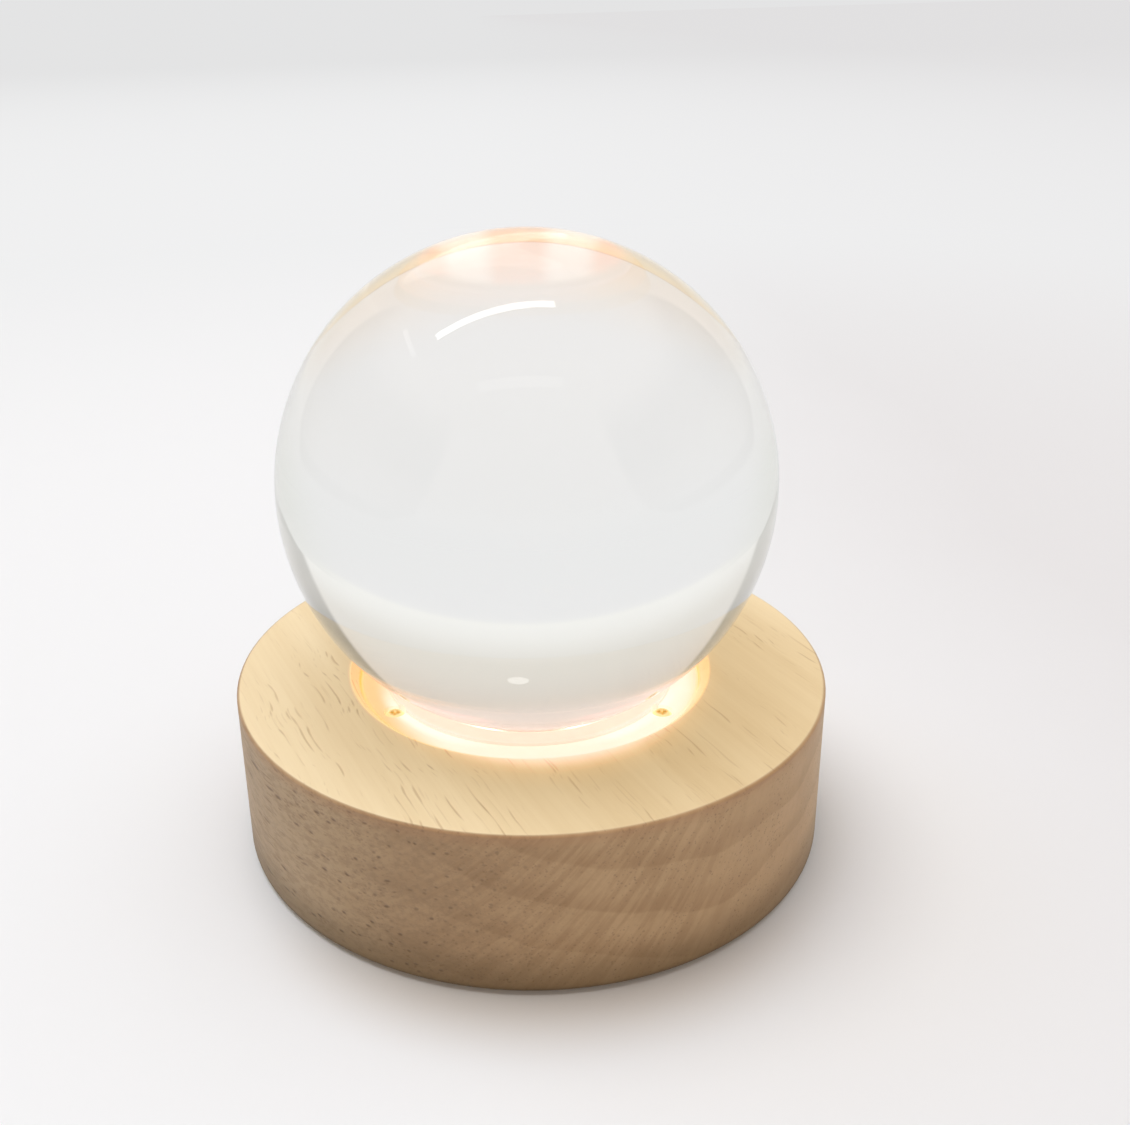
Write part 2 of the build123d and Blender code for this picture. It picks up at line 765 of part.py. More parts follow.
def lead_solder():
    """The four fillets of solder round the ends of the leads."""
    hole = lead_diameter / 2 + solder_gap
    joints = []
    for x in (-lead_spread / 2, lead_spread / 2):
        for y, level in ((lead_start_y, power_board_bottom), (lead_board_y, light_board_bottom)):
            joint = turned([
                (hole, 0),
                (solder_radius, 0),
                (hole, -solder_height),
            ])
            joints.append(Pos(x, y, level) * joint)
    return Compound(joints)


def lamp_pieces():
    """Every piece of the lamp by its name."""
    pieces = {
        "crystal_ball": crystal_ball(),
        "wooden_base": wooden_base(),
        "lamp_ring": lamp_ring(),
        "window_disc": disc(window_radius, window_bottom, window_top),
        "light_board": disc(light_board_radius, light_board_bottom, light_board_top),
        "bottom_cover": bottom_cover(),
        "power_board": power_board(),
        "switch_slider": switch_slider(),
        "contact_clips": Compound([contact_clip(-1), contact_clip(1)]),
        "latch_wire": latch_wire(),
        "return_spring": return_spring(),
        "push_button": push_button(),
        "lead_solder": lead_solder(),
    }
    for group in (
        ring_screws(), leds(), cover_fittings(), power_board_fittings(), inlet(), switch(), leads()
    ):
        pieces.update(group)
    return pieces


os.makedirs("parts", exist_ok=True)
for name, piece in lamp_pieces().items():
    export_step(piece, f"parts/{name}.step")
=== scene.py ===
# %% [markdown]
# # A crystal ball lamp, dressed for a picture
#
# The lamp is a solid glass ball on the lit ring of a turned wooden base. Its solids come in
# as a fixed frame, at their real size in metres, and this lesson gives them their looks.
# A piece whose shape is right keeps its mesh and gets a better finish. A piece that needs a
# finer surface is made again here, as an array of points, in the place of the old one.

# %% Load the frame
from math import cos, pi, radians, sin

import bpy
import numpy as np
from mathutils import Matrix, Vector


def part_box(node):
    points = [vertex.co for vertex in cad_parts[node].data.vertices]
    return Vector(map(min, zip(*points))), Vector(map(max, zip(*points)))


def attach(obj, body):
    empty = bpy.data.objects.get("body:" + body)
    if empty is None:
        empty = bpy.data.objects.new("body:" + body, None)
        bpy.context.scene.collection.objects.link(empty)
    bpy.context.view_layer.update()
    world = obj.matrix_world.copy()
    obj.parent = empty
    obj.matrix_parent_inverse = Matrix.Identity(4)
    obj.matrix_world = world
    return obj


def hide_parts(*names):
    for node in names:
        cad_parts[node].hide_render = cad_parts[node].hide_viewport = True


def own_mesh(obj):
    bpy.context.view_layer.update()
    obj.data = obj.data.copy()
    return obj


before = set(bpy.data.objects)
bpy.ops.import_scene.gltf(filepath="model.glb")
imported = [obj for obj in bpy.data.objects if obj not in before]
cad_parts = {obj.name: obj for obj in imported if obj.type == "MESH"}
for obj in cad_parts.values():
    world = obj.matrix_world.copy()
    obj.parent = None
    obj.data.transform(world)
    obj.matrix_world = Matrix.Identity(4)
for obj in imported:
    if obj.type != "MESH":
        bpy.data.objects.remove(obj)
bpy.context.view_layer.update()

# %% [markdown]
# ## Sizes that the looks need
#
# Everything that is drawn on a surface, such as the glow round the ring or the pads on a
# board, has to meet the solids. So its size is read from the boxes of the pieces, and only
# what the solids don't say, such as how wide a pore of the wood is, is written down here.

# %% Read the sizes of the lamp
mm = 0.001


def middle(name):
    """The middle of a piece's box."""
    low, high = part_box(name)
    return (Vector(low) + Vector(high)) / 2


def turned_size(name):
    """Half the width of a piece's box, and its lowest and highest point, in millimetres."""
    low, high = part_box(name)
    return (high[0] - low[0]) / 2 / mm, low[2] / mm, high[2] / mm


ball_radius, ball_low, ball_high = turned_size("crystal_ball")
ball_height = (ball_low + ball_high) / 2
wood_radius, wood_low, wood_high = turned_size("wooden_base")
ring_radius, _, ring_high = turned_size("lamp_ring")
print("ball", ball_radius, ball_height, "wood", wood_radius, wood_high, "ring", ring_radius, ring_high)

# %% [markdown]
# ## The camera
#
# A product picture is often cut from a larger one, and then the point that the lens looks
# at isn't the middle of the picture. That is what a camera's shift is for. The values here
# are those at which the outlines of the ball and of the base's two rims fall where the
# picture has them.

# %% Place the camera
picture_width, picture_height = 1130, 1125
focal_length = 1241.5  # in pixels of the picture
lens_centre = (490.0, 510.0)  # the pixel that the lens looks at
camera_distance = 151.9 * mm
camera_rise = 0.3804  # above the horizontal, in radians
camera_roll = -0.03
camera_target = Vector((-4.39, 0.0, 41.39)) * mm


def place_camera():
    """A camera on a line from its target, turned about that line by the roll."""
    back = Vector((0, -cos(camera_rise), sin(camera_rise)))
    level_up = Vector((0, sin(camera_rise), cos(camera_rise)))
    right = Vector((1, 0, 0)) * cos(camera_roll) + level_up * sin(camera_roll)
    up = back.cross(right)
    data = bpy.data.cameras.new("camera")
    data.sensor_fit = "HORIZONTAL"
    data.lens = focal_length * data.sensor_width / picture_width
    data.shift_x = (picture_width / 2 - lens_centre[0]) / picture_width
    data.shift_y = (lens_centre[1] - picture_height / 2) / picture_width
    data.clip_start, data.clip_end = 0.01, 100
    camera = bpy.data.objects.new("camera", data)
    bpy.context.scene.collection.objects.link(camera)
    place = Matrix((right, up, back)).transposed().to_4x4()
    place.translation = camera_target + back * camera_distance
    camera.matrix_world = place
    bpy.context.scene.camera = camera
    return camera


camera = place_camera()
print("lens", camera.data.lens, "shift", camera.data.shift_x, camera.data.shift_y)

# %% [markdown]
# ## Shader maths as plain expressions
#
# A procedural finish is a formula, and a formula is easier to read as `1 - mask * depth`
# than as a row of nodes. The class below holds a socket and knows the operators, so each
# expression adds the Math nodes that it needs. One more method adds any other node.

# %% Wrap a socket


class Value:
    """A number that changes over a surface: a socket, with Python's operators."""

    def __init__(self, nodes, socket):
        self.nodes = nodes
        self.socket = socket

    def maths(self, operation, *others):
        """A Math node, with this value in its first socket."""
        return self.nodes.add("ShaderNodeMath", dict(enumerate((self, *others))), operation=operation)

    def flipped(self, operation, other):
        """A Math node with this value in its second socket, for a plain number on the left."""
        return self.nodes.add("ShaderNodeMath", {0: other, 1: self}, operation=operation)

    def __add__(self, other):
        return self.maths("ADD", other)

    def __sub__(self, other):
        return self.maths("SUBTRACT", other)

    def __mul__(self, other):
        return self.maths("MULTIPLY", other)

    def __truediv__(self, other):
        return self.maths("DIVIDE", other)

    def __pow__(self, other):
        return self.maths("POWER", other)

    def __rsub__(self, other):
        return self.flipped("SUBTRACT", other)

    def __rtruediv__(self, other):
        return self.flipped("DIVIDE", other)

    __radd__ = __add__
    __rmul__ = __mul__

    def __abs__(self):
        return self.maths("ABSOLUTE")

    def root(self):
        return self.maths("SQRT")

    def clamped(self):
        """No less than 0 and no more than 1."""
        return self.nodes.add("ShaderNodeClamp", {"Value": self})

    def between(self, start, end):
        """0 before start, 1 past end, and a smooth step from one to the other."""
        limits = {"Value": self, "From Min": start, "From Max": end}
        return self.nodes.add("ShaderNodeMapRange", limits, interpolation_type="SMOOTHSTEP")

    def near(self, place, width):
        """1 at a place, and a smooth step down to 0 at this distance to each side."""
        return 1 - abs(self - place).between(0.0, width)


# %% Build a tree of nodes


class Nodes:
    """A tree of shader nodes, and the ways to add to it."""

    def __init__(self, tree):
        self.tree = tree

    def feed(self, socket, value):
        """Links a Value to a socket, or sets a plain number or colour on it."""
        if isinstance(value, Value):
            self.tree.links.new(value.socket, socket)
        elif hasattr(socket.default_value, "__len__") and len(socket.default_value) == 4:
            socket.default_value = (*value, 1.0)[:4]
        else:
            socket.default_value = value

    def add(self, kind, values=None, out=0, **settings):
        """A node of this kind: its settings first, then its sockets, and one output back."""
        node = self.tree.nodes.new(kind)
        for setting, value in settings.items():
            setattr(node, setting, value)
        for socket, value in (values or {}).items():
            self.feed(node.inputs[socket], value)
        return Value(self, node.outputs[out])

    def path(self, question):
        """1 for the rays that the question is true of, such as Is Camera Ray."""
        return self.add("ShaderNodeLightPath", out=question)

    def parts_of(self, vector):
        """The X, Y and Z of a vector, as three values."""
        first = self.add("ShaderNodeSeparateXYZ", {0: vector})
        return [Value(self, socket) for socket in first.socket.node.outputs]

    def vector(self, x, y, z):
        """A vector of three values."""
        return self.add("ShaderNodeCombineXYZ", {0: x, 1: y, 2: z})

    def stretched(self, vector, scale):
        """A vector with each of its parts scaled."""
        return self.add("ShaderNodeVectorMath", {0: vector, 1: scale}, operation="MULTIPLY")

    def brighter(self, colour, strength):
        """A colour times a value."""
        return self.add("ShaderNodeVectorMath", {0: colour, "Scale": strength}, operation="SCALE")

    def noise(self, vector, scale=1.0, detail=2.0, roughness=0.5):
        """Soft random values from 0 to 1, about 0.5 in the middle."""
        values = {"Vector": vector, "Scale": scale, "Detail": detail, "Roughness": roughness}
        return self.add("ShaderNodeTexNoise", values)

    def cells(self, vector):
        """The distance to the nearest of many random points, one in each cell of a grid."""
        values = {"Vector": vector, "Scale": 1.0, "Randomness": 1.0}
        return self.add("ShaderNodeTexVoronoi", values, "Distance")

    def blend(self, share, first, second, kind="MIX"):
        """Two colours mixed by a share. The Mix node keeps its colours in sockets 6 and 7."""
        colours = {0: share, 6: first, 7: second}
        settings = {"data_type": "RGBA", "blend_type": kind, "clamp_factor": True}
        return self.add("ShaderNodeMix", colours, out=2, **settings)

    def tinted(self, colour, tint):
        """A colour times a tint, part by part."""
        return self.blend(1.0, colour, tint, "MULTIPLY")


# %% Build a finish


class Finish(Nodes):
    """A material with one Principled shader."""

    def __init__(self, name, **constants):
        self.material = bpy.data.materials.new(name)
        self.material.use_nodes = True
        super().__init__(self.material.node_tree)
        self.shader = self.tree.nodes["Principled BSDF"]
        for socket, value in constants.items():
            self.shader.inputs[socket.replace("_", " ")].default_value = value

    def set(self, socket, value):
        """Feeds one socket of the shader."""
        self.feed(self.shader.inputs[socket], value)

    def place(self, turn=0.0):
        """The place on the piece in millimetres, turned about the Z axis."""
        coordinates = self.add("ShaderNodeTexCoord", out="Object")
        values = {"Vector": coordinates, "Rotation": (0, 0, turn), "Scale": (1 / mm,) * 3}
        return self.add("ShaderNodeMapping", values)

    def bump(self, height, depth):
        """Bends the surface by a height from 0 to 1 that stands for a depth in metres."""
        values = {"Height": height, "Distance": depth, "Strength": 1.0}
        self.set("Normal", self.add("ShaderNodeBump", values))

    def glow(self, colour, strength):
        """Light of its own, of a colour, as strong as this."""
        self.set("Emission Color", self.brighter(colour, strength))
        self.shader.inputs["Emission Strength"].default_value = 1.0

    def mixed_with(self, kind, values, share):
        """The Principled shader mixed with one of another kind, by a share."""
        other = self.add(kind, values)
        mixed = self.add("ShaderNodeMixShader", {0: share})
        mixer = mixed.socket.node
        self.tree.links.new(self.shader.outputs[0], mixer.inputs[1])
        self.tree.links.new(other.socket, mixer.inputs[2])
        self.tree.links.new(mixed.socket, self.tree.nodes["Material Output"].inputs["Surface"])

    def lets_lamps_through(self, tint):
        """Rays on their way to a lamp pass straight through, as light mostly does in clear glass."""
        self.mixed_with("ShaderNodeBsdfTransparent", {"Color": tint}, self.path("Is Shadow Ray"))


def dress(finish, *names):
    """Gives a finish to pieces of the frame, on the object's own slots."""
    for name in names:
        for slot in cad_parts[name].material_slots:
            slot.link = "OBJECT"
            slot.material = finish.material


# %% [markdown]
# ## A pale room
#
# The ball shows the whole room, so the room has to be right before any finish is. The
# camera sees one pale colour. The glass sees more: a warm grey above the horizon, and two
# dim panels, which draw the dark crescents along the edge of the ball. Without something
# darker to each side, clear glass on white has no outline at all. What the room gives as
# light is weaker again, so that the wood keeps its shading.

# %% Make the world
horizon_colour = (0.775, 0.775, 0.778)
glass_horizon = (0.915, 0.910, 0.880)
glass_wall = (0.770, 0.745, 0.690)
glass_ceiling = (0.720, 0.665, 0.610)
right_panel = (0.130, 0.130, 0.105)
left_panel = (0.220, 0.220, 0.185)
low_share = 0.50  # of a panel's dimness, near the horizon
room_light_left = (0.300, 0.272, 0.243)
room_light_right = (0.450, 0.392, 0.337)
panel_edge = (0.745, 0.795)  # how far aside a direction points where a panel begins, and is full
panel_top = (0.50, 0.75)  # how far up it points where a panel starts to end, and has ended
panel_full = (0.12, 0.36)  # and where the dimness starts to grow above its low share, and is full


def make_world():
    """Pale to the camera, shaded to the glass, and weaker where it gives light."""
    world = bpy.data.worlds.new("room")
    world.use_nodes = True
    sky = Nodes(world.node_tree)
    sky.tree.nodes.clear()
    across, _, up = sky.parts_of(sky.add("ShaderNodeTexCoord", out="Generated"))
    aside = (abs(across) + up * 0.4).between(*panel_edge) * (1 - abs(across).between(0.82, 1.0) * 0.35)
    rising = low_share + up.between(*panel_full) * (1 - low_share)
    aside = aside * (1 - up.between(*panel_top)) * rising
    panel = sky.blend(across.between(-0.1, 0.1), left_panel, right_panel)
    shown = sky.blend(up.between(-0.02, 0.17), glass_horizon, glass_wall)
    shown = sky.blend(up.between(0.1, 0.5), shown, glass_ceiling)
    shown = sky.blend(aside, shown, panel)
    first_hit = 1 - sky.path("Diffuse Depth").clamped()
    in_glass = (sky.path("Is Glossy Ray") + sky.path("Is Transmission Ray")).clamped() * first_hit
    lighting = sky.blend((across * 0.5 + 0.5).clamped(), room_light_left, room_light_right)
    colour = sky.blend(in_glass, lighting, shown)
    colour = sky.blend(sky.path("Is Camera Ray"), colour, horizon_colour)
    background = sky.add("ShaderNodeBackground", {"Color": colour, "Strength": 1.0})
    output = sky.tree.nodes.new("ShaderNodeOutputWorld")
    sky.tree.links.new(background.socket, output.inputs["Surface"])
    bpy.context.scene.world = world


make_world()
bpy.context.scene.view_settings.view_transform = "Standard"

# %% [markdown]
# ## The lamps
#
# Two broad, distant lamps light the wood from behind, the stronger one from the left, and
# throw the soft shadow to the front. Four strips overhead are only there to be seen in the
# glass. The bright one makes the curved line near the top of the ball, and two faint ones
# are mirrored beside and below it. The last is seen only after the light has been mirrored
# once inside the ball, as a short line low in the glass.

# %% Make the lamps of the room
daylight = (0.965, 1.0, 1.045)  # a little blue, to cancel the warm light that the wood throws back
strip_height = 0.5  # metres


def make_broad_light(name, strength, angle, place):
    """A broad, even light from far away, shining from a place to the lamp. Glass doesn't show it."""
    data = bpy.data.lights.new(name, "SUN")
    data.energy = strength
    data.color = daylight
    data.angle = angle
    lamp = bpy.data.objects.new(name, data)
    bpy.context.scene.collection.objects.link(lamp)
    lamp.rotation_euler = Vector(place).to_track_quat("Z", "Y").to_euler()
    lamp.visible_glossy = False
    lamp.visible_transmission = False
    return lamp


def make_strip(name, place, size, turn, brightness, mirrored=True):
    """A flat strip above the lamp, facing down, as bright as this to look at.

    The outside of the glass mirrors it, unless it is told not to.
    """
    length, width = size
    data = bpy.data.lights.new(name, "AREA")
    data.shape = "RECTANGLE"
    data.size, data.size_y = length, width
    data.energy = brightness * pi * length * width
    lamp = bpy.data.objects.new(name, data)
    bpy.context.scene.collection.objects.link(lamp)
    lamp.location = (*place, strip_height)
    lamp.rotation_euler = (0, 0, turn)
    lamp.visible_diffuse = False
    lamp.visible_glossy = mirrored
    return lamp


make_broad_light("window_light", 1.80, radians(45), (-0.33, 0.22, 1.0))
make_broad_light("fill_light", 0.72, radians(50), (0.30, 0.18, 1.0))
make_strip("strip_light", (-0.085, 0.054), (0.35, 0.031), radians(8), 4.6)
make_strip("faint_strip", (-0.02, -0.25), (0.3, 0.05), 0.0, 0.45)
make_strip("side_strip", (-0.368, 0.09), (0.022, 0.168), 0.0, 0.8)
make_strip("low_strip", (0.0086, -0.3364), (0.120, 0.0136), radians(-5.3), 2.8, mirrored=False)

# %% [markdown]
# ## The floor
#
# The table is a white sheet with no edge in sight. Near the lamp it is lit like any
# surface, so it keeps the shadow of the base, and a darker, warmer shadow is painted on at
# the front of its foot. Further out it shows a pale colour of its own, which runs into the
# colour of the room, so there is no horizon.

# %% Make a grid of points into a mesh


def new_piece(name, vertices, faces):
    """An object of this mesh, smooth, at the origin."""
    mesh = bpy.data.meshes.new(name)
    mesh.from_pydata(np.asarray(vertices).tolist(), [], faces)
    mesh.shade_smooth()
    piece = bpy.data.objects.new(name, mesh)
    bpy.context.scene.collection.objects.link(piece)
    print(name, "faces", len(mesh.polygons))
    return piece


def closed_faces(rows, columns):
    """Faces of a closed skin of rings of points, followed by its first and its last pole.

    A quad joins each point with its neighbours in the ring and in the next ring, and a fan
    of triangles joins each end ring with its pole.
    """
    row, column = np.meshgrid(np.arange(rows - 1), np.arange(columns), indexing="ij")
    beside = (column + 1) % columns
    here, above = row * columns, (row + 1) * columns
    quads = np.stack((here + column, here + beside, above + beside, above + column), axis=-1)
    near = np.arange(columns)
    far = (near + 1) % columns
    last_ring = (rows - 1) * columns
    first_pole = np.full(columns, rows * columns)
    first_fan = np.stack((first_pole, far, near), axis=-1)
    last_fan = np.stack((first_pole + 1, last_ring + near, last_ring + far), axis=-1)
    return quads.reshape(-1, 4).tolist() + first_fan.tolist() + last_fan.tolist()


def turned_piece(name, profile, steps):
    """A profile of radius and height in metres, from pole to pole, turned about the Z axis.

    Each point goes round as x = radius * cos(angle), y = radius * sin(angle). The first and
    last points of the profile lie on the axis, and each is one vertex of a fan.
    """
    angle = np.linspace(0, 2 * pi, steps, endpoint=False)
    rings = profile[1:-1]
    points = np.empty((len(rings), steps, 3))
    points[..., 0] = rings[:, None, 0] * np.cos(angle)
    points[..., 1] = rings[:, None, 0] * np.sin(angle)
    points[..., 2] = rings[:, None, 1]
    vertices = np.vstack((points.reshape(-1, 3), (0, 0, profile[0, 1]), (0, 0, profile[-1, 1])))
    return new_piece(name, vertices, closed_faces(len(rings), steps))


# %% Lay the floor
floor_reach = 60.0  # metres
floor_thickness = 0.02
floor_rings, floor_steps = 24, 64
first_ring = 0.05
sheet_colour = (0.862, 0.866, 0.878)
sheet_shade = (0.745, 0.730, 0.735)
painted_warm_sheet = (0.830, 0.755, 0.680)  # painted warm light beside the lamp, which only the glass shows
glass_sheet = (0.800, 0.800, 0.803)
painted_contact_shadow = (0.690, 0.615, 0.535)  # painted shadow at the base's foot, warm as if lit by the wood
far_sheet = (0.872, 0.872, 0.876)
glass_far_sheet = (0.842, 0.842, 0.845)
glass_flank = (0.800, 0.808, 0.785)  # the same, to the left and right


def table_sheet():
    """A flat round sheet: the axis below, out to the rim, up, and back to the axis at height 0."""
    reach = np.geomspace(first_ring, floor_reach, floor_rings)
    below = np.column_stack((reach, np.full(floor_rings, -floor_thickness)))
    above = np.column_stack((reach[::-1], np.zeros(floor_rings)))
    profile = np.vstack(((0, -floor_thickness), below, above, (0, 0)))
    return turned_piece("floor", profile, floor_steps)


def sheet_finish():
    """White, slightly dimmer to the right, with a pale glow of its own far out. It has a
    painted shadow at the front of the base's foot, and painted warm light beside the lamp
    that only the glass sees.

    All distances are in millimetres. Rays that are already diffuse don't see the glow, so
    that it lights nothing.
    """
    sheet = Finish("white_sheet", Roughness=0.9)
    place = sheet.place()
    across, back, _ = sheet.parts_of(place)
    distance = (across * across + back * back).root()
    seen = 1 - sheet.path("Diffuse Depth").clamped()
    soft = sheet.noise(place, 0.01, 2.0)
    dim = (across * 0.0095 + soft * 0.3 - 0.1).clamped()
    near_colour = sheet.blend(dim, sheet_colour, sheet_shade)
    far_colour = sheet.blend(distance.between(500.0, 3200.0), far_sheet, horizon_colour)
    far_colour = sheet.blend((across * 0.0012).clamped() * 0.6, far_colour, sheet_shade)
    aside = ((abs(across) - 63.0) / distance).between(0.77, 0.82)
    panel = sheet.blend(across.between(-10.0, 10.0), left_panel, right_panel)
    glass_colour = sheet.blend(distance.between(400.0, 2000.0), glass_far_sheet, glass_horizon)
    flank = (abs(across) / distance).between(0.45, 0.85)
    glass_colour = sheet.blend(flank, glass_colour, glass_flank)
    glass_colour = sheet.blend(aside * distance.between(500.0, 900.0) * low_share, glass_colour, panel)
    far_colour = sheet.blend(sheet.path("Is Camera Ray"), glass_colour, far_colour)
    # Painted light: through the glass, the sheet beside the lamp looks warmly lit.
    beside = sheet.blend(distance.between(50.0, 82.0), painted_warm_sheet, glass_sheet)
    near_colour = sheet.blend(sheet.path("Is Transmission Ray") * seen, near_colour, beside)
    # Painted shadow: the floor is darker and warmer at the front of the base's foot.
    contact = (1 - distance.between(36.0, 48.0)) * (0 - back / distance).between(0.55, 1.0)
    near_colour = sheet.blend(contact * 0.75, near_colour, painted_contact_shadow)
    sheet.set("Base Color", near_colour)
    shown_far = distance.between(110.0, 480.0)
    glass_far = distance.between(70.0, 170.0)
    far = 0.06 + (glass_far + (shown_far - glass_far) * sheet.path("Is Camera Ray")) * 0.94
    sheet.mixed_with("ShaderNodeEmission", {"Color": far_colour, "Strength": 1.0}, far * seen)
    return sheet


floor = table_sheet()
floor.data.materials.append(sheet_finish().material)

# %% [markdown]
# ## The ball
#
# A glass ball is a lens, so every flat facet on it would show as a step in the picture
# behind it. The frame's ball is made of flat triangles. A ball worked out as a fine grid of
# angles is smooth enough, and its two poles are closed with fans of triangles.

# %% Make the ball
ball_rows, ball_steps = 161, 320


def glass_ball():
    """Half a circle, turned, from its lowest point to its highest.

    With t from 0 to pi, its radius is R sin(t) and its height is H - R cos(t).
    """
    t = np.linspace(0, pi, ball_rows)
    profile = np.column_stack((ball_radius * np.sin(t), ball_height - ball_radius * np.cos(t)))
    return turned_piece("glass_ball", profile * mm, ball_steps)


ball = glass_ball()
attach(ball, "ball")
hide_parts("crystal_ball")

# %% Finish the ball


def clear_finish(name, tint, shadow_tint, **constants):
    """Something clear, in which only the rays to the lamps aren't bent."""
    clear = Finish(name, Transmission_Weight=1.0, **constants)
    clear.set("Base Color", tint)
    clear.lets_lamps_through(shadow_tint)
    return clear


crystal = clear_finish("crystal", (0.982, 0.988, 0.982), (0.915, 0.870, 0.785), Roughness=0.0, IOR=1.517)
ball.data.materials.append(crystal.material)

# %% [markdown]
# ## The wood
#
# The base is turned from a plain board, so its figure is that of a solid: long thin pores
# where the cut runs along the grain, dots and curved growth rings where it crosses it.
# That is why the pattern is worked out in three dimensions, in a frame that is turned to
# the grain, and not painted on the top and the side one by one.

# %% Describe the wood
grain_angle = radians(-66)  # the grain's direction on the top face
ring_step = 6.0  # millimetres from one growth ring to the next
pith = (9.0, 82.0)  # millimetres across the grain and up, the middle of the growth rings
face_light = (0.985, 0.805, 0.520)
face_dark = (0.900, 0.708, 0.430)
heart_and_shadow_tint = (0.895, 0.870, 0.825)  # the broad band of darker wood, times the face, which also paints part of the ball's shadow on the top
streak_colour = (0.560, 0.370, 0.190)
shaded_flank_colour = (0.560, 0.415, 0.270)  # of the side where the cut runs along the grain, darker than the top as painted shade of a side facing away from the light above
# The end grain is darker than the top, partly as real end grain and partly as painted shade of the side.
end_light = (0.590, 0.385, 0.205)
end_dark = (0.415, 0.248, 0.115)
end_pore_colour = (0.200, 0.120, 0.065)
left_shade_tint = (0.735, 0.675, 0.620)  # painted shade on the left part of the side, where the grain is also torn and open, times its colour
rough_colour = (0.300, 0.190, 0.100)
sawn_light = (0.80, 0.71, 0.60)  # of the cut walls inside, times their colour
sawn_dark = (0.66, 0.55, 0.44)
rim_shade_colour = (0.50, 0.27, 0.13)
foot_shade_colour = (0.14, 0.09, 0.035)
foot_shadow_colour = (0.08, 0.055, 0.025)
spill_colour = (1.0, 0.48, 0.12)
strong_colour = (1.0, 0.70, 0.72)
long_pore = (36.0, 0.70)  # millimetres along the grain and across it
short_pore = (14.0, 0.45)
torn_pore = (8.0, 1.0)
glow_reach = 24.2  # millimetres to the front and back, where the ring's light is half as strong
glow_narrowing = 1.22  # it ends sooner to the sides
glow_shift = 1.3  # and a little later on the right


def glow_distance(x, y):
    """The distance to the axis, counted for more to the sides."""
    return ((x - glow_shift) ** 2 * glow_narrowing ** 2 + y * y).root()


